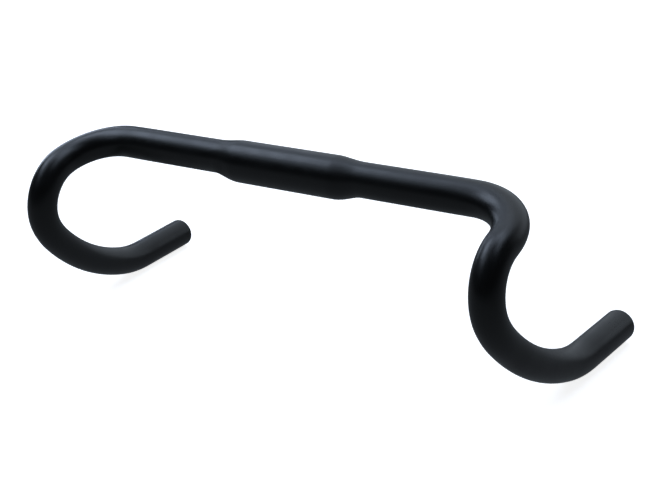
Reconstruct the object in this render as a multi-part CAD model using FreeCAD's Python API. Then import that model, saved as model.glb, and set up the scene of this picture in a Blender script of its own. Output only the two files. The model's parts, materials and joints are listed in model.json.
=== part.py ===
"""Compact drop handlebar for a road bicycle, with its two push-in end plugs.

The bar is one seamless aluminium tube, 31.8 mm in the stem clamp zone, 25.4 mm on the tops and
23.8 mm at the drop ends, with the hooks drawn a little thinner by bending. It is bent as on a tube
bender: each half is a straight, a corner forwards, and four arcs that open out into the drop, in a
plane rolled outwards so that the drops flare. The corners are pressed a little wider than high.
The functions build the left half, and the right half mirrors it.

Frame: millimetres, +X to the rider's left along the clamp zone, -Y forwards, +Z up. The origin is
the middle of the clamp zone, on its axis. The bar is turned about the axis of its tops until the
drop ends are level.
"""
import FreeCAD
import Part
import math
import os

from FreeCAD import Rotation, Vector

# ---- driving dimensions: outside of the tube ----
CLAMP_DIAMETER = 31.8
TOPS_DIAMETER = 25.4
HOOK_DIAMETER = 23.2
DROP_DIAMETER = 23.8
CLAMP_HALF_WIDTH = 42.0      # constant 31.8 mm zone, each side of the middle
TAPER_LENGTH = 23.0          # from the clamp zone down to the tops
TOPS_RISE = 1.25             # the tops lie this far above the clamp axis

# ---- driving dimensions: wall of the butted tube ----
CLAMP_WALL = 2.1
TOPS_WALL = 1.8
DROP_WALL = 1.6

# ---- driving dimensions: bends of one half ----
TOPS_HALF_LENGTH = 153.5     # from the middle to the start of the corner
CORNER_RADIUS = 40.0
CORNER_ANGLE = 91.6          # a little over square, so the ramps toe in
HOOK_ROLL = 95.85            # roll from the corner's plane to the hook's plane, which gives the flare
HOOK_ARCS = (                # (radius, angle), from the ramp to the drop end
    (33.5, 100.8),
    (64.0, 15.5),
    (170.0, 31.5),
    (91.0, 17.0),
)
GRIP_END_LENGTH = 56.0       # straight drop end
RIM_CHAMFER = 0.4

# ---- driving dimensions: the pressed corner ----
CORNER_OVALITY = 0.09        # share of the radius added in the bend's plane, and lost across it
OVAL_LEAD = 18.0             # begins this far before the corner, and peaks this far into it
OVAL_RUN_OUT = 30.0          # ends this many degrees round the first hook arc

# ---- driving dimensions: end plug ----
PLUG_GAP = 0.1               # between the tube's rim and the cap
PLUG_CAP_DIAMETER = 23.2
PLUG_CAP_EDGE = 1.2          # height of the cap at its edge
PLUG_CAP_DOME = 0.9          # further height at its middle
PLUG_CAP_CHAMFER = 0.45
PLUG_BARREL_DIAMETER = 19.2
PLUG_BARREL_WALL = 1.4
PLUG_BARREL_LENGTH = 20.0
PLUG_FIN_CLEARANCE = 0.05    # radial, to the tube's bore
PLUG_FIN_STATIONS = (5.0, 9.5, 14.0)
PLUG_FIN_TIP = 0.5
PLUG_FIN_ROOT = 1.4
PLUG_LEAD_IN = 0.8
PLUG_FLOOR = 1.6
PLUG_SLOTS = 4
PLUG_SLOT_WIDTH = 2.2
PLUG_SLOT_LENGTH = 16.0

# ---- worked out from them ----
CORNER_LENGTH = CORNER_RADIUS * math.radians(CORNER_ANGLE)
OVAL_END = CORNER_LENGTH + HOOK_ARCS[0][0] * math.radians(OVAL_RUN_OUT)
HOOK_LENGTHS = [radius * math.radians(angle) for radius, angle in HOOK_ARCS]
GROWTH_SPLIT = HOOK_LENGTHS[2] / (HOOK_LENGTHS[2] + HOOK_LENGTHS[3])

# ---- modelling choices ----
LOFT_SECTIONS = 13
CORNER_SECTIONS = 25
ORIGIN = Vector(0, 0, 0)
X_AXIS = Vector(1, 0, 0)
Z_AXIS = Vector(0, 0, 1)
FORWARDS = Vector(0, -1, 0)


def between(start, stop, share):
    return start + (stop - start) * share


def smooth(t):
    """Eases from 0 to 1 with level ends, and stays there."""
    t = min(max(t, 0), 1)
    return t * t * (3 - 2 * t)


def turned(vector, axis, degrees):
    return Rotation(axis, degrees).multVec(vector)


class BendState:
    """Where the tube bender stands: a point, the tube's direction, and the side it bends towards."""

    def __init__(self, point, along, towards):
        self.point = point
        self.along = along
        self.towards = towards

    def rolled(self, degrees):
        return BendState(self.point, self.along, turned(self.towards, self.along, degrees))

    def advanced(self, length):
        return BendState(self.point + self.along * length, self.along, self.towards)

    def centre(self, radius):
        return self.point + self.towards * radius

    def axis(self):
        return self.along.cross(self.towards)

    def bent(self, radius, degrees):
        axis = self.axis()
        arm = turned(self.point - self.centre(radius), axis, degrees)
        return BendState(
            self.centre(radius) + arm,
            turned(self.along, axis, degrees),
            turned(self.towards, axis, degrees),
        )

    def pitched(self, degrees):
        """The same state with the whole bar turned about the axis of its tops."""
        lift = Vector(0, 0, TOPS_RISE)
        return BendState(
            turned(self.point - lift, X_AXIS, degrees) + lift,
            turned(self.along, X_AXIS, degrees),
            turned(self.towards, X_AXIS, degrees),
        )


def bend_states():
    """States at the start of the corner, of each hook arc, and of the straight drop end."""
    start = BendState(Vector(TOPS_HALF_LENGTH, 0, TOPS_RISE), X_AXIS, FORWARDS)
    states = [start, start.bent(CORNER_RADIUS, CORNER_ANGLE).rolled(HOOK_ROLL)]
    for radius, angle in HOOK_ARCS:
        states.append(states[-1].bent(radius, angle))
    end = states[-1].along
    level = -math.degrees(math.atan2(end.z, end.y))
    return [state.pitched(level) for state in states]


def disc(state, radius):
    return Part.Face(Part.Wire(Part.makeCircle(radius, state.point, state.along)))


def oval(state, half_width, half_height):
    """A ring across the tube, its half width measured towards the side that the tube bends to."""
    ring = Part.Ellipse(ORIGIN, half_width, half_height).toShape()
    turn = Rotation(state.towards, state.axis(), state.along, "ZXY")
    ring.Placement = FreeCAD.Placement(state.point, turn)
    return Part.Wire(ring)


def hollow_loft(sections):
    """Tube through (state, radius, ovality, wall) sections."""
    outer, inner = [], []
    for state, radius, ovality, wall in sections:
        half_width, half_height = radius * (1 + ovality), radius * (1 - ovality)
        outer.append(oval(state, half_width, half_height))
        inner.append(oval(state, half_width - wall, half_height - wall))
    return Part.makeLoft(outer, True, False).cut(Part.makeLoft(inner, True, False))


def hollow_arc(state, bend_radius, angle):
    """A bend of the hook's constant size."""
    ring = disc(state, HOOK_DIAMETER / 2).cut(disc(state, HOOK_DIAMETER / 2 - DROP_WALL))
    return ring.revolve(state.centre(bend_radius), state.axis(), angle)


def hollow_straight(state, length, radius, wall):
    outer = Part.makeCylinder(radius, length, state.point, state.along)
    return outer.cut(Part.makeCylinder(radius - wall, length, state.point, state.along))


def revolved(profile):
    """Solid of revolution about +Z from (radius, height) points."""
    points = [Vector(radius, 0, height) for radius, height in profile]
    return Part.Face(Part.makePolygon(points + points[:1])).revolve(ORIGIN, Z_AXIS, 360)


def placed(shape, state):
    """Moves a shape built on +Z so that its +Z lies along the tube at a state."""
    shape.Placement = FreeCAD.Placement(state.point, Rotation(Z_AXIS, state.along)).multiply(shape.Placement)
    return shape


def taper():
    """From the clamp zone down to the tops, which lie a little above its axis."""
    sections = []
    for k in range(LOFT_SECTIONS):
        t = k / (LOFT_SECTIONS - 1)
        ease = smooth(t)
        station = Vector(CLAMP_HALF_WIDTH + TAPER_LENGTH * t, 0, TOPS_RISE * ease)
        radius = between(CLAMP_DIAMETER, TOPS_DIAMETER, ease) / 2
        wall = between(CLAMP_WALL, TOPS_WALL, ease)
        sections.append((BendState(station, X_AXIS, FORWARDS), radius, 0, wall))
    return hollow_loft(sections)


def tops():
    start = CLAMP_HALF_WIDTH + TAPER_LENGTH
    state = BendState(Vector(start, 0, TOPS_RISE), X_AXIS, FORWARDS)
    return hollow_straight(state, TOPS_HALF_LENGTH - OVAL_LEAD - start, TOPS_DIAMETER / 2, TOPS_WALL)


def corner_state(start, station):
    """State at a distance from the corner's start, which keeps the corner's own side round the hook."""
    if station < 0:
        return start.advanced(station)
    if station <= CORNER_LENGTH:
        return start.bent(CORNER_RADIUS, math.degrees(station / CORNER_RADIUS))
    hook_start = start.bent(CORNER_RADIUS, CORNER_ANGLE).rolled(HOOK_ROLL)
    hook_radius = HOOK_ARCS[0][0]
    into_hook = math.degrees((station - CORNER_LENGTH) / hook_radius)
    return hook_start.bent(hook_radius, into_hook).rolled(-HOOK_ROLL)


def corner(start):
    """The bend forwards, along which the tube thins from the tops' size to the hooks'. Its sections
    are oval from a little before the bend to a little way round the hook."""
    sections = []
    for k in range(CORNER_SECTIONS):
        station = between(-OVAL_LEAD, OVAL_END, k / (CORNER_SECTIONS - 1))
        thinning = smooth(station / CORNER_LENGTH)
        rise = smooth((station + OVAL_LEAD) / (2 * OVAL_LEAD))
        fall = smooth((station - OVAL_LEAD) / (OVAL_END - OVAL_LEAD))
        radius = between(TOPS_DIAMETER, HOOK_DIAMETER, thinning) / 2
        wall = between(TOPS_WALL, DROP_WALL, thinning)
        sections.append((corner_state(start, station), radius, CORNER_OVALITY * rise * (1 - fall), wall))
    return hollow_loft(sections)


def hook(states):
    """The rest of the first arc and the second one, of constant size, and the last two, over which
    the tube grows to the size of the drop."""
    first, second, third, fourth = HOOK_ARCS
    return [
        hollow_arc(states[0].bent(first[0], OVAL_RUN_OUT), first[0], first[1] - OVAL_RUN_OUT),
        hollow_arc(states[1], *second),
        growing_arc(states[2], *third, 0, GROWTH_SPLIT),
        growing_arc(states[3], *fourth, GROWTH_SPLIT, 1),
    ]


def growing_arc(state, bend_radius, angle, growth_start, growth_stop):
    """A bend along part of the growth from the hook's size (0) to the drop's (1)."""
    sections = []
    for k in range(LOFT_SECTIONS):
        t = k / (LOFT_SECTIONS - 1)
        growth = smooth(between(growth_start, growth_stop, t))
        radius = between(HOOK_DIAMETER, DROP_DIAMETER, growth) / 2
        sections.append((state.bent(bend_radius, angle * t), radius, 0, DROP_WALL))
    return hollow_loft(sections)


def grip_end(state):
    """The straight drop end, with both edges of its rim broken."""
    outer = DROP_DIAMETER / 2
    inner = outer - DROP_WALL
    profile = (
        (inner, 0),
        (outer, 0),
        (outer, GRIP_END_LENGTH - RIM_CHAMFER),
        (outer - RIM_CHAMFER, GRIP_END_LENGTH),
        (inner + RIM_CHAMFER, GRIP_END_LENGTH),
        (inner, GRIP_END_LENGTH - RIM_CHAMFER),
    )
    return placed(revolved(profile), state)


def mirrored(shape):
    return shape.mirror(ORIGIN, X_AXIS)


def handlebar_tube(states):
    half = [taper(), tops(), corner(states[0]), *hook(states[1:5]), grip_end(states[5])]
    start = BendState(Vector(-CLAMP_HALF_WIDTH, 0, 0), X_AXIS, FORWARDS)
    middle = hollow_straight(start, 2 * CLAMP_HALF_WIDTH, CLAMP_DIAMETER / 2, CLAMP_WALL)
    return middle.multiFuse(half + [mirrored(piece) for piece in half]).removeSplitter()


def plug_fin(station, bore_radius):
    """One ring fin on the barrel, thinner at its tip."""
    root = PLUG_BARREL_DIAMETER / 2 - PLUG_BARREL_WALL / 2
    tip = bore_radius - PLUG_FIN_CLEARANCE
    profile = (
        (root, -station - PLUG_FIN_ROOT / 2),
        (tip, -station - PLUG_FIN_TIP / 2),
        (tip, -station + PLUG_FIN_TIP / 2),
        (root, -station + PLUG_FIN_ROOT / 2),
    )
    return revolved(profile)


def plug_cap():
    """A chamfered disc just narrower than the tube, closed by a low spherical dome."""
    radius = PLUG_CAP_DIAMETER / 2
    shoulder = PLUG_GAP + PLUG_CAP_EDGE
    crown = Vector(0, 0, shoulder + PLUG_CAP_DOME)
    edge = Vector(radius - PLUG_CAP_CHAMFER, 0, shoulder)
    dome_radius = (edge.x ** 2 + PLUG_CAP_DOME ** 2) / (2 * PLUG_CAP_DOME)
    half_way = math.asin(edge.x / dome_radius) / 2
    middle = crown + Vector(math.sin(half_way), 0, math.cos(half_way) - 1) * dome_radius
    foot = Vector(0, 0, PLUG_GAP)
    rim = Vector(radius, 0, PLUG_GAP)
    side = Vector(radius, 0, shoulder - PLUG_CAP_CHAMFER)
    lines = Part.makePolygon([crown, foot, rim, side, edge]).Edges
    dome = Part.Arc(edge, middle, crown).toShape()
    return Part.Face(Part.Wire([*lines, dome])).revolve(ORIGIN, Z_AXIS, 360)


def plug_barrel():
    outer = PLUG_BARREL_DIAMETER / 2
    inner = outer - PLUG_BARREL_WALL
    profile = (
        (0, PLUG_GAP),
        (outer, PLUG_GAP),
        (outer, PLUG_LEAD_IN - PLUG_BARREL_LENGTH),
        (outer - PLUG_LEAD_IN / 2, -PLUG_BARREL_LENGTH),
        (inner, -PLUG_BARREL_LENGTH),
        (inner, -PLUG_FLOOR),
        (0, -PLUG_FLOOR),
    )
    return revolved(profile)


def end_plug(bore_radius):
    """One moulding: cap, hollow barrel, ring fins, and slots that let the barrel spring."""
    fins = [plug_fin(station, bore_radius) for station in PLUG_FIN_STATIONS]
    body = plug_cap().multiFuse([plug_barrel(), *fins])
    bottom = PLUG_LEAD_IN - PLUG_BARREL_LENGTH - 2 * PLUG_LEAD_IN
    for k in range(PLUG_SLOTS):
        slot = Part.makeBox(
            2 * bore_radius, PLUG_SLOT_WIDTH, PLUG_SLOT_LENGTH,
            Vector(PLUG_BARREL_DIAMETER / 4, -PLUG_SLOT_WIDTH / 2, bottom),
        )
        slot.rotate(ORIGIN, Z_AXIS, 45 + 360 * k / PLUG_SLOTS)
        body = body.cut(slot)
    return body.removeSplitter()


def main():
    states = bend_states()
    rim = states[5].advanced(GRIP_END_LENGTH)
    left_plug = placed(end_plug(DROP_DIAMETER / 2 - DROP_WALL), rim)
    nodes = {
        "handlebar_tube": handlebar_tube(states),
        "end_plug_left": left_plug,
        "end_plug_right": mirrored(left_plug),
    }
    os.makedirs("parts", exist_ok=True)
    for name, shape in nodes.items():
        shape.exportStep(f"parts/{name}.step")
        print(name, "valid:", shape.isValid(), "solids:", len(shape.Solids), "mm3:", round(shape.Volume))
    print("drop end rim at", rim.point, "along", rim.along)


main()
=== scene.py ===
"""Looks of the drop handlebar: the bent tube as one smooth swept mesh, its two moulded end plugs, a
matte black blasted finish, a pale table and soft studio light. Metres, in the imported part's frame."""
import json
import math

import bpy
import numpy as np
from mathutils import Matrix, Vector


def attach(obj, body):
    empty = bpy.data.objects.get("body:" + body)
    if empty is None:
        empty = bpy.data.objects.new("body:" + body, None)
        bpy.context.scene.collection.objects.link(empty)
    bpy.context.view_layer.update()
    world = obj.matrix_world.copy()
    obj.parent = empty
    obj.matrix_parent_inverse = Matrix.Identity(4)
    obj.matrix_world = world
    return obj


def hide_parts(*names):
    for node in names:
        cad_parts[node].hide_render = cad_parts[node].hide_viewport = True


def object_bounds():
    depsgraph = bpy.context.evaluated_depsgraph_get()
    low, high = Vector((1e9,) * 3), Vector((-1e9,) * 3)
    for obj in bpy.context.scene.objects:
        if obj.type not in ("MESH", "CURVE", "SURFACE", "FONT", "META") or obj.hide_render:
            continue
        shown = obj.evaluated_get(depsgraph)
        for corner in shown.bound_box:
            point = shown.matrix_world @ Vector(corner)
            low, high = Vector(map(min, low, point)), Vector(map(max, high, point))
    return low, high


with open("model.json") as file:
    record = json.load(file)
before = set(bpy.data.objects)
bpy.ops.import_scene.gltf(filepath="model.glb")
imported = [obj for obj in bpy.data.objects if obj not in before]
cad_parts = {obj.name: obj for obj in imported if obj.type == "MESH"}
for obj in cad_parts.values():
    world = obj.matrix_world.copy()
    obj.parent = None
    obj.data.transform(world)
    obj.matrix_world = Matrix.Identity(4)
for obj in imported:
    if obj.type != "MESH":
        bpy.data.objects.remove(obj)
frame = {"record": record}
cad_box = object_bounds()
mounts = {mount["name"]: mount for mount in frame["record"]["mounts"]}

MM = 0.001
X_AXIS = np.array((1.0, 0.0, 0.0))
Z_AXIS = np.array((0.0, 0.0, 1.0))
Z_UP = Vector(Z_AXIS)
FORWARDS = np.array((0.0, -1.0, 0.0))
MIRROR = np.array((-1.0, 1.0, 1.0))


def mount_radius(name):
    return mounts[name]["dims"]["r_mm"] * MM


# ---- the tube's path and sections, as the CAD has them ----
CLAMP_RADIUS = mount_radius("stem_clamp")
TOPS_RADIUS = mount_radius("tops_left")
HOOK_RADIUS = mount_radius("lever_left")
DROP_RADIUS = mount_radius("drop_end_left")
CLAMP_HALF_WIDTH = mounts["stem_clamp"]["dims"]["length_mm"] * MM / 2
TOPS_RISE = mounts["tops_left"]["pos_m"][2]
TAPER_LENGTH = 23 * MM
TOPS_HALF_LENGTH = 153.5 * MM
CORNER = (40 * MM, 91.6)
HOOK_ROLL = 95.85
HOOK_ARCS = ((33.5 * MM, 100.8), (64 * MM, 15.5), (170 * MM, 31.5), (91 * MM, 17))
RIM_BREAK = 0.4 * MM
GRIP_END_LENGTH = mounts["drop_end_left"]["dims"]["length_mm"] * MM + RIM_BREAK
CLAMP_WALL = 2.1 * MM
TOPS_WALL = 1.8 * MM
DROP_WALL = 1.6 * MM
CORNER_OVALITY = 0.09
OVAL_LEAD = 18 * MM
OVAL_RUN_OUT = 30
BEND_EASING = 2.5 * MM        # the bends start and stop this softly
EASING_REACH = 4              # how many easings either side of a point count

# ---- the end plugs, as the CAD has them, with the small radii of a moulding ----
PLUG_GAP = 0.1 * MM
PLUG_CAP_RADIUS = 11.6 * MM
PLUG_CAP_EDGE = 1.2 * MM
PLUG_CAP_DOME = 0.9 * MM
PLUG_CAP_CHAMFER = 0.45 * MM
PLUG_BARREL_RADIUS = 9.6 * MM
PLUG_BARREL_WALL = 1.4 * MM
PLUG_BARREL_LENGTH = 20 * MM
PLUG_FIN_CLEARANCE = 0.05 * MM
PLUG_FIN_RADIUS = DROP_RADIUS - DROP_WALL - PLUG_FIN_CLEARANCE
PLUG_FIN_STATIONS = (5 * MM, 9.5 * MM, 14 * MM)
PLUG_FIN_TIP = 0.5 * MM
PLUG_FIN_ROOT = 1.4 * MM
PLUG_LEAD_IN = 0.8 * MM
PLUG_FLOOR = 1.6 * MM
PLUG_SLOTS = 4
PLUG_SLOT_WIDTH = 2.2 * MM
PLUG_SLOT_TOP = -4.8 * MM
PLUG_SLOT_TURN = 45           # where the first slot is, in degrees round the plug
MOULD_RADIUS = 0.12 * MM
CORNER_SHARE = 0.45           # the most of a side that one rounded corner takes
SHARP_ANGLE = 50              # edges that turn more than this are eased

# ---- mesh density ----
PATH_STEP = 1 * MM
TUBE_AROUND = 96
TUBE_ANGLES = np.linspace(0, 2 * math.pi, TUBE_AROUND, endpoint=False)
RIM_STEPS = 4
CORNER_STEPS = 3
LATHE_AROUND = 128
DOME_STEPS = 12


def turned(vector, axis, degrees):
    return np.array(Matrix.Rotation(math.radians(degrees), 3, Vector(axis)) @ Vector(vector))


def between(start, stop, share):
    return start + (stop - start) * share


def smooth(t):
    t = np.clip(t, 0, 1)
    return t * t * (3 - 2 * t)


def unit(vectors):
    return vectors / np.linalg.norm(vectors, axis=-1, keepdims=True)


def arc_lengths(points):
    return np.concatenate([[0], np.cumsum(np.linalg.norm(np.diff(points, axis=0), axis=1))])


def left_centreline():
    """Points of the left half's axis from the middle of the bar to its drop end, the direction that
    the corner bends towards, and the arc lengths where its straights and bends meet."""
    point, along, towards = np.zeros(3), X_AXIS, FORWARDS
    points, marks = [point], [0.0]

    def straight(length):
        nonlocal point
        steps = round(length / PATH_STEP)
        points.extend(point + along * length * k / steps for k in range(1, steps + 1))
        point = points[-1]
        marks.append(marks[-1] + length)

    def bend(radius, degrees):
        nonlocal point, along, towards
        centre = point + towards * radius
        axis = np.cross(along, towards)
        steps = round(radius * math.radians(degrees) / PATH_STEP)
        shares = np.arange(1, steps + 1) / steps
        points.extend(centre - turned(towards, axis, degrees * share) * radius for share in shares)
        point = points[-1]
        along, towards = turned(along, axis, degrees), turned(towards, axis, degrees)
        marks.append(marks[-1] + radius * math.radians(degrees))

    straight(TOPS_HALF_LENGTH)
    bend(*CORNER)
    towards = turned(towards, along, HOOK_ROLL)
    for arc in HOOK_ARCS:
        bend(*arc)
    straight(GRIP_END_LENGTH)
    level = -math.degrees(math.atan2(along[2], along[1]))
    spin = np.array(Matrix.Rotation(math.radians(level), 3, "X"))
    return np.array(points) @ spin.T, spin @ FORWARDS, marks


def eased(points):
    """The same line with its curvature coming on gradually, its two ends unmoved."""
    lengths = arc_lengths(points)
    spacing = lengths[-1] / (len(points) - 1)
    reach = int(EASING_REACH * BEND_EASING / spacing)
    weights = np.exp(-0.5 * (np.arange(-reach, reach + 1) * spacing / BEND_EASING) ** 2)
    weights /= weights.sum()
    before = 2 * points[0] - points[reach:0:-1]
    after = 2 * points[-1] - points[-2:-reach - 2:-1]
    padded = np.concatenate([before, points, after])
    return np.stack([np.convolve(padded[:, axis], weights, "valid") for axis in range(3)], axis=1)


def even(points):
    """Points resampled at an even spacing, and their arc lengths."""
    lengths = arc_lengths(points)
    stations = np.linspace(0, lengths[-1], round(lengths[-1] / PATH_STEP) + 1)
    resampled = [np.interp(stations, lengths, points[:, axis]) for axis in range(3)]
    return np.stack(resampled, axis=1), stations


def carried(tangents, first):
    """A direction across the tube at each point, carried along from the first without twisting."""
    across = [first]
    for tangent in tangents[1:]:
        across.append(unit(across[-1] - tangent * np.dot(across[-1], tangent)))
    return np.array(across)


class LeftHalf:
    """The left half's axis and its sections: radius, wall, ovality, and the two directions across."""

    def __init__(self):
        points, corner_side, marks = left_centreline()
        _, corner_start, hook_start, _, growth_start, _, growth_end, _ = marks
        points, stations = even(points)
        points = eased(points)
        taper = smooth((stations - CLAMP_HALF_WIDTH) / TAPER_LENGTH)
        points = points + np.outer(taper, Z_AXIS * TOPS_RISE)
        tangents = unit(np.gradient(points, axis=0))
        tangents[0] = X_AXIS
        corner = stations - corner_start
        corner_length = hook_start - corner_start
        thinning = smooth(corner / corner_length)
        growth = smooth((stations - growth_start) / (growth_end - growth_start))
        oval_end = corner_length + HOOK_ARCS[0][0] * math.radians(OVAL_RUN_OUT)
        rise = smooth((corner + OVAL_LEAD) / (2 * OVAL_LEAD))
        fall = smooth((corner - OVAL_LEAD) / (oval_end - OVAL_LEAD))
        radius = between(CLAMP_RADIUS, TOPS_RADIUS, taper)
        radius = between(radius, HOOK_RADIUS, thinning)
        wall = between(between(CLAMP_WALL, TOPS_WALL, taper), DROP_WALL, thinning)
        self.points = points
        self.tangents = tangents
        self.stations = stations
        self.radius = between(radius, DROP_RADIUS, growth)
        self.wall = wall
        self.ovality = CORNER_OVALITY * rise * (1 - fall)
        self.across = carried(tangents, corner_side)
        self.upwards = np.cross(tangents, self.across)

    def rings(self, inset):
        """Rings of points round the axis, an inset inside the outer surface."""
        half_width = self.radius * (1 + self.ovality) - inset
        half_height = self.radius * (1 - self.ovality) - inset
        wide = np.einsum("s,a,sc->sac", half_width, np.cos(TUBE_ANGLES), self.across)
        high = np.einsum("s,a,sc->sac", half_height, np.sin(TUBE_ANGLES), self.upwards)
        return self.points[:, None, :] + wide + high


def mesh_object(name, vertices, faces):
    mesh = bpy.data.meshes.new(name)
    mesh.from_pydata([tuple(v) for v in vertices], [], faces)
    mesh.validate()
    mesh.update()
    mesh.polygons.foreach_set("use_smooth", [True] * len(mesh.polygons))
    obj = bpy.data.objects.new(name, mesh)
    bpy.context.collection.objects.link(obj)
    return obj


def torus_faces(ring_count, ring_size):
    """Quads between successive rings, the last ring joined to the first."""
    faces = []
    for i in range(ring_count):
        a, b = i * ring_size, (i + 1) % ring_count * ring_size
        for j in range(ring_size):
            k = (j + 1) % ring_size
            faces.append((a + j, a + k, b + k, b + j))
    return faces


def rim_rings(half, outer_edge, inner_edge):
    """Rings that round both edges of the tube's cut end, from the outside to the bore."""
    rings = []
    for edge, sense in ((outer_edge, -1), (inner_edge, 1)):
        spokes = unit(edge - half.points[-1])
        for k in range(RIM_STEPS + 1):
            turn = math.radians(90 * k / RIM_STEPS)
            inset = RIM_BREAK * (1 - math.cos(turn)) * sense
            back = RIM_BREAK * (1 - math.sin(turn))
            rings.append(edge + spokes * inset - half.tangents[-1] * back)
    return np.array(rings[:RIM_STEPS + 1] + rings[:RIM_STEPS:-1])


def handlebar_tube():
    """The whole tube as one skin: out along its left half, round the rim, back up the bore, and the
    same mirrored. Its "unrolled" attribute holds the distance along it, for marks that follow it."""
    half = LeftHalf()
    outer = half.rings(0)
    inner = half.rings(half.wall)
    rim = rim_rings(half, outer[-1], inner[-1])
    clear = slice(0, -1)
    left = np.concatenate([outer[clear], rim, inner[clear][::-1]])
    stations = half.stations[clear]
    lengths = np.concatenate([stations, [half.stations[-1]] * len(rim), stations[::-1]])
    rings = np.concatenate([left, (left * MIRROR)[::-1][1:-1]])
    lengths = np.concatenate([lengths, -lengths[::-1][1:-1]])
    tube = mesh_object("bar_tube", np.concatenate(rings), torus_faces(len(rings), TUBE_AROUND))
    unrolled = np.zeros((len(rings), TUBE_AROUND, 3))
    unrolled[:, :, 0] = np.cos(TUBE_ANGLES) * DROP_RADIUS
    unrolled[:, :, 1] = np.sin(TUBE_ANGLES) * DROP_RADIUS
    unrolled[:, :, 2] = lengths[:, None]
    attribute = tube.data.attributes.new("unrolled", "FLOAT_VECTOR", "POINT")
    attribute.data.foreach_set("vector", unrolled.ravel())
    return tube


# ---- end plugs ----
def rounded(profile):
    """An open profile of (radius, height) points with each corner between its ends rounded."""
    points = [Vector(p) for p in profile]
    result = [points[0]]
    for before, corner, after in zip(points, points[1:], points[2:]):
        shorter = min((before - corner).length, (after - corner).length)
        cut = min(MOULD_RADIUS, shorter * CORNER_SHARE)
        a = corner + (before - corner).normalized() * cut
        b = corner + (after - corner).normalized() * cut
        for k in range(CORNER_STEPS + 1):
            t = k / CORNER_STEPS
            result.append(a * (1 - t) ** 2 + corner * 2 * t * (1 - t) + b * t * t)
    return result + [points[-1]]


def plug_profile():
    """The plug's outline from the middle of its cap, down its barrel, and up its bore to its floor."""
    shoulder = PLUG_GAP + PLUG_CAP_EDGE
    edge = PLUG_CAP_RADIUS - PLUG_CAP_CHAMFER
    shares = [k / DOME_STEPS for k in range(DOME_STEPS)]
    dome = [(edge * share, shoulder + PLUG_CAP_DOME * (1 - share ** 2)) for share in shares]
    cap = [(edge, shoulder), (PLUG_CAP_RADIUS, shoulder - PLUG_CAP_CHAMFER), (PLUG_CAP_RADIUS, PLUG_GAP)]
    barrel = [(PLUG_BARREL_RADIUS, PLUG_GAP)]
    for station in PLUG_FIN_STATIONS:
        for radius, half in (
            (PLUG_BARREL_RADIUS, -PLUG_FIN_ROOT / 2), (PLUG_FIN_RADIUS, -PLUG_FIN_TIP / 2),
            (PLUG_FIN_RADIUS, PLUG_FIN_TIP / 2), (PLUG_BARREL_RADIUS, PLUG_FIN_ROOT / 2),
        ):
            barrel.append((radius, -station - half))
    bore = PLUG_BARREL_RADIUS - PLUG_BARREL_WALL
    foot = [
        (PLUG_BARREL_RADIUS, PLUG_LEAD_IN - PLUG_BARREL_LENGTH),
        (PLUG_BARREL_RADIUS - PLUG_LEAD_IN / 2, -PLUG_BARREL_LENGTH),
        (bore, -PLUG_BARREL_LENGTH),
        (bore, -PLUG_FLOOR),
        (0, -PLUG_FLOOR),
    ]
    return rounded(dome + cap + barrel + foot)


def lathed(name, profile):
    """A closed surface of revolution about +Z. The profile starts and ends on the axis."""
    angles = [2 * math.pi * k / LATHE_AROUND for k in range(LATHE_AROUND)]
    rings = profile[1:-1]
    vertices = [(0, 0, profile[0][1])]
    for radius, height in rings:
        vertices.extend((radius * math.cos(a), radius * math.sin(a), height) for a in angles)
    vertices.append((0, 0, profile[-1][1]))
    faces, last = [], len(vertices) - 1
    for k in range(LATHE_AROUND):
        n = (k + 1) % LATHE_AROUND
        faces.append((0, 1 + k, 1 + n))
        for i in range(len(rings) - 1):
            a, b = 1 + i * LATHE_AROUND, 1 + (i + 1) * LATHE_AROUND
            faces.append((a + n, a + k, b + k, b + n))
        end = 1 + (len(rings) - 1) * LATHE_AROUND
        faces.append((end + n, end + k, last))
    return mesh_object(name, vertices, faces)


def slot_cutter():
    """Boxes from well inside the barrel's wall to well outside its fins, one for each slot."""
    inner, outer, half = PLUG_BARREL_RADIUS / 2, PLUG_BARREL_RADIUS * 1.3, PLUG_SLOT_WIDTH / 2
    bottom = -PLUG_BARREL_LENGTH - PLUG_LEAD_IN
    vertices, faces = [], []
    for k in range(PLUG_SLOTS):
        turn = Matrix.Rotation(math.radians(PLUG_SLOT_TURN + 360 * k / PLUG_SLOTS), 3, "Z")
        first = len(vertices)
        for x in (inner, outer):
            for y in (-half, half):
                for z in (bottom, PLUG_SLOT_TOP):
                    vertices.append(turn @ Vector((x, y, z)))
        for face in ((0, 1, 3, 2), (4, 6, 7, 5), (0, 4, 5, 1), (2, 3, 7, 6), (0, 2, 6, 4), (1, 5, 7, 3)):
            faces.append(tuple(first + index for index in face))
    return mesh_object("slot_cutter", vertices, faces)


def end_plug(name):
    """The plug on +Z, its rim plane at 0, slotted and with its sharp edges eased."""
    body = lathed(name, plug_profile())
    cutter = slot_cutter()
    slots = body.modifiers.new("slots", "BOOLEAN")
    slots.operation, slots.solver, slots.object = "DIFFERENCE", "EXACT", cutter
    edges = body.modifiers.new("edges", "BEVEL")
    edges.width, edges.segments = MOULD_RADIUS, 2
    edges.limit_method, edges.angle_limit = "ANGLE", math.radians(SHARP_ANGLE)
    mesh = bpy.data.meshes.new_from_object(body.evaluated_get(bpy.context.evaluated_depsgraph_get()))
    body.modifiers.clear()
    body.data = mesh
    bpy.data.objects.remove(cutter)
    return body


def plug_place(side):
    """From the plug on +Z to its place in a drop end."""
    mount = mounts["drop_end_" + side]
    along = Vector(mount["axis"]).normalized()
    middle = Vector(mount["pos_m"])
    rim = middle + along * (GRIP_END_LENGTH - mount["dims"]["length_mm"] * MM / 2)
    return Matrix.Translation(rim) @ Z_UP.rotation_difference(along).to_matrix().to_4x4()


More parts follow.
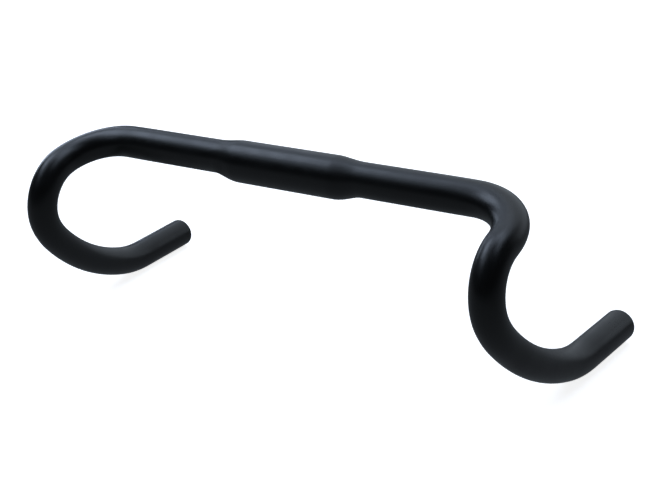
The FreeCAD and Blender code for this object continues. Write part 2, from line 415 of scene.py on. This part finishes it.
# ---- finishes ----
class Finish:
    """A node material around one Principled shader."""

    def __init__(self, name):
        self.material = bpy.data.materials.new(name)
        self.material.use_nodes = True
        self.tree = self.material.node_tree
        self.shader = self.tree.nodes["Principled BSDF"]
        self.here = self.node("ShaderNodeTexCoord").outputs["Object"]

    def node(self, kind, **settings):
        node = self.tree.nodes.new(kind)
        for key, value in settings.items():
            setattr(node, key, value)
        return node

    def link(self, output, socket):
        self.tree.links.new(output, socket)

    def stretched(self, vector, scale):
        """The same coordinates, with each axis multiplied by its own number."""
        mapping = self.node("ShaderNodeMapping")
        mapping.inputs["Scale"].default_value = scale
        self.link(vector, mapping.inputs["Vector"])
        return mapping.outputs["Vector"]

    def noise(self, vector, size, detail=2.0, roughness=0.55, distortion=0.0):
        """Noise whose blotches are about a size across, from 0 to 1."""
        noise = self.node("ShaderNodeTexNoise")
        noise.inputs["Scale"].default_value = 1 / size
        noise.inputs["Detail"].default_value = detail
        noise.inputs["Roughness"].default_value = roughness
        noise.inputs["Distortion"].default_value = distortion
        self.link(vector, noise.inputs["Vector"])
        return noise.outputs["Fac"]

    def ranged(self, value, low, high, source=(0.25, 0.75)):
        """A value moved from its source range to low..high, and kept inside."""
        mapped = self.node("ShaderNodeMapRange")
        mapped.inputs["From Min"].default_value, mapped.inputs["From Max"].default_value = source
        mapped.inputs["To Min"].default_value, mapped.inputs["To Max"].default_value = low, high
        self.link(value, mapped.inputs["Value"])
        return mapped.outputs["Result"]

    def added(self, first, second):
        add = self.node("ShaderNodeMath", operation="ADD")
        self.link(first, add.inputs[0])
        self.link(second, add.inputs[1])
        return add.outputs["Value"]

    def coloured(self, value, dark, light):
        """Shader colour between two colours."""
        mix = self.node("ShaderNodeMix", data_type="RGBA")
        mix.inputs["A"].default_value = (*dark, 1)
        mix.inputs["B"].default_value = (*light, 1)
        self.link(value, mix.inputs["Factor"])
        self.link(mix.outputs["Result"], self.shader.inputs["Base Color"])

    def bumps(self, *layers):
        """Stacks (height, depth in metres) layers of bump on the shader."""
        normal = None
        for height, depth in layers:
            bump = self.node("ShaderNodeBump")
            bump.inputs["Distance"].default_value = depth
            self.link(height, bump.inputs["Height"])
            if normal:
                self.link(normal, bump.inputs["Normal"])
            normal = bump.outputs["Normal"]
        self.link(normal, self.shader.inputs["Normal"])


def blasted_black():
    """Black anodised aluminium over a bead-blasted surface: a fine grain, the faint lengthwise marks
    of the drawn tube under it, and slightly duller patches from handling."""
    finish = Finish("blasted_black")
    unrolled = finish.node("ShaderNodeAttribute", attribute_name="unrolled").outputs["Vector"]
    beads = finish.noise(finish.here, 0.42 * MM, detail=3, roughness=0.6)
    frosting = finish.noise(finish.here, 0.13 * MM)
    drawing = finish.noise(finish.stretched(unrolled, (1, 1, 0.03)), 1.1 * MM, detail=3)
    waviness = finish.noise(finish.here, 14 * MM, detail=1)
    handling = finish.noise(finish.here, 34 * MM, detail=5, distortion=0.8)
    finish.coloured(finish.ranged(beads, 0, 1), (0.0008, 0.0009, 0.0010), (0.0030, 0.0032, 0.0034))
    dulled = finish.added(finish.ranged(beads, -0.05, 0.05), finish.ranged(drawing, -0.018, 0.018))
    dulled = finish.added(dulled, finish.ranged(handling, 0.305, 0.395, (0.38, 0.66)))
    finish.link(dulled, finish.shader.inputs["Roughness"])
    finish.bumps(
        (waviness, 0.06 * MM), (drawing, 0.006 * MM), (beads, 0.020 * MM), (frosting, 0.004 * MM)
    )
    return finish.material


def moulded_black():
    """Black nylon from a spark-eroded mould: coarser, rounder grain, a little greyer and duller."""
    finish = Finish("moulded_black")
    erosion = finish.noise(finish.here, 0.6 * MM, roughness=0.45)
    pores = finish.noise(finish.here, 0.16 * MM)
    flow = finish.noise(finish.here, 7 * MM, detail=3, distortion=1.4)
    finish.coloured(finish.ranged(flow, 0, 1), (0.0085, 0.0087, 0.0090), (0.0125, 0.0127, 0.0130))
    dulled = finish.added(finish.ranged(erosion, -0.05, 0.05), finish.ranged(flow, 0.43, 0.51))
    finish.link(dulled, finish.shader.inputs["Roughness"])
    finish.bumps((erosion, 0.05 * MM), (pores, 0.008 * MM))
    return finish.material


def pale_table():
    """A white, evenly lit table top with a slight paper tooth."""
    finish = Finish("pale_table")
    tooth = finish.noise(finish.here, 2.5 * MM, detail=3)
    finish.coloured(tooth, (0.80, 0.80, 0.80), (0.83, 0.83, 0.83))
    finish.link(finish.ranged(tooth, 0.82, 0.92), finish.shader.inputs["Roughness"])
    finish.shader.inputs["Emission Color"].default_value = (1, 1, 1, 1)
    finish.shader.inputs["Emission Strength"].default_value = TABLE_GLOW
    return finish.material


# ---- stage ----
TABLE_LEVEL = cad_box[0][2] - 0.5 * MM
TABLE_RING = 2.5              # a ring part of the way out, which keeps the flat's shading level
WALL_RADIUS = 6.5
WALL_SWEEP = 1.5              # radius of the curve from the table into the wall
WALL_HEIGHT = 8
TABLE_GLOW = 0.85
LIGHT_DISTANCE = 3.0
LIGHTS_CENTRE = Vector((0, 0, -0.06))
DAYLIGHT = (0.68, 0.80, 1.00)
ROOM_TINT = (0.78, 0.88, 1.00)
SURROUND_BELOW = 0.195        # brightness under the horizon, and above it
SURROUND_ABOVE = 0.036
HORIZON = (-0.12, 0.08)       # the sines of elevation between which one turns into the other


def direction_to(azimuth, elevation):
    """The direction from the bar to an azimuth (0 in front, 90 on the rider's left) and elevation."""
    a, e = math.radians(azimuth), math.radians(elevation)
    return Vector((math.sin(a) * math.cos(e), -math.cos(a) * math.cos(e), math.sin(e)))


def studio_table():
    """A round white table top that sweeps up into a wall all round. Only the camera sees it: the
    dimmer surround stands in for it in the bar's reflections."""
    profile = [(0, 0), (TABLE_RING, 0)]
    for degrees in range(0, 91, 10):
        turn = math.radians(degrees)
        outwards = WALL_RADIUS - WALL_SWEEP * (1 - math.sin(turn))
        profile.append((outwards, WALL_SWEEP * (1 - math.cos(turn))))
    profile += [(WALL_RADIUS, WALL_HEIGHT), (0, WALL_HEIGHT)]
    table = lathed("studio_table", profile)
    table.location.z = TABLE_LEVEL
    table.visible_glossy = table.visible_diffuse = table.visible_shadow = False
    table.data.materials.append(pale_table())


def tinted(tint, brightness):
    red, green, blue = (channel * brightness for channel in tint)
    return red, green, blue, 1


def surround():
    """What the bar reflects besides the lights: a dark room above the horizon, a brighter one
    below it."""
    scene_world = bpy.data.worlds.new("studio")
    scene_world.use_nodes = True
    nodes, links = scene_world.node_tree.nodes, scene_world.node_tree.links
    height = nodes.new("ShaderNodeSeparateXYZ")
    links.new(nodes.new("ShaderNodeTexCoord").outputs["Generated"], height.inputs["Vector"])
    rise = nodes.new("ShaderNodeMapRange")
    rise.interpolation_type = "SMOOTHSTEP"
    rise.inputs["From Min"].default_value, rise.inputs["From Max"].default_value = HORIZON
    links.new(height.outputs["Z"], rise.inputs["Value"])
    mix = nodes.new("ShaderNodeMix")
    mix.data_type = "RGBA"
    mix.inputs["A"].default_value = tinted(ROOM_TINT, SURROUND_BELOW)
    mix.inputs["B"].default_value = tinted(ROOM_TINT, SURROUND_ABOVE)
    links.new(rise.outputs["Result"], mix.inputs["Factor"])
    links.new(mix.outputs["Result"], nodes["Background"].inputs["Color"])
    bpy.context.scene.world = scene_world


def softbox(name, azimuth, elevation, half_angles, brightness, tint=DAYLIGHT):
    """A rectangular softbox seen from the bar at an azimuth and elevation, covering a half angle each
    way. Its brightness is the radiance it sends out."""
    width, height = (2 * LIGHT_DISTANCE * math.tan(math.radians(angle)) for angle in half_angles)
    light = bpy.data.lights.new(name, "AREA")
    light.shape = "RECTANGLE"
    light.size, light.size_y = width, height
    light.color = tint
    light.energy = brightness * math.pi * width * height
    obj = bpy.data.objects.new(name, light)
    direction = direction_to(azimuth, elevation)
    obj.location = LIGHTS_CENTRE + direction * LIGHT_DISTANCE
    obj.rotation_euler = direction.to_track_quat("Z", "Y").to_euler()
    bpy.context.collection.objects.link(obj)


# ---- camera ----
CAMERA_AZIMUTH = 35.71
CAMERA_ELEVATION = 22.05
CAMERA_ROLL = -3.63
CAMERA_DISTANCE = 0.9267
CAMERA_AIM = (0.0343, -0.0025, -0.0542)
CAMERA_LENS = 69.72           # millimetres, on a sensor this wide
CAMERA_SENSOR = 36


def camera():
    data = bpy.data.cameras.new("camera")
    data.sensor_width = CAMERA_SENSOR
    data.lens = CAMERA_LENS
    obj = bpy.data.objects.new("camera", data)
    back = direction_to(CAMERA_AZIMUTH, CAMERA_ELEVATION)
    right = Z_UP.cross(back).normalized()
    up = back.cross(right)
    turn = Matrix.Rotation(math.radians(CAMERA_ROLL), 3, back)
    axes = Matrix((turn @ right, turn @ up, back)).transposed()
    obj.matrix_world = Matrix.Translation(Vector(CAMERA_AIM) + back * CAMERA_DISTANCE) @ axes.to_4x4()
    bpy.context.collection.objects.link(obj)
    bpy.context.scene.camera = obj


tube = handlebar_tube()
tube.data.materials.append(blasted_black())
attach(tube, "bar")
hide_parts("handlebar_tube")

plug_finish = moulded_black()
for side in ("left", "right"):
    plug = end_plug(side + "_plug_moulding")
    plug.data.transform(plug_place(side))
    plug.data.materials.append(plug_finish)
    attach(plug, side + "_plug")
    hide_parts("end_plug_" + side)

studio_table()
surround()
softbox("window", -90, 50, (14, 11), 3.60)
softbox("window_front", -54, 50, (14, 11), 1.00)
softbox("window_back", -128, 40, (14, 20), 0.78)
softbox("lamp_low", -116, 10, (12, 9), 3.30)
softbox("overhead_left", -130, 72, (16, 12), 1.33)
softbox("overhead_front", -70, 72, (16, 12), 0.43)
softbox("overhead_back", 168, 72, (16, 12), 2.00)
softbox("overhead_right", 105, 72, (16, 12), 1.00)
softbox("back_wall", 178, 20, (42, 18), 0.69, ROOM_TINT)
softbox("back_wall_top", -178, 48, (24, 9), 0.76, ROOM_TINT)
camera()
bpy.context.scene.view_settings.view_transform = "Standard"
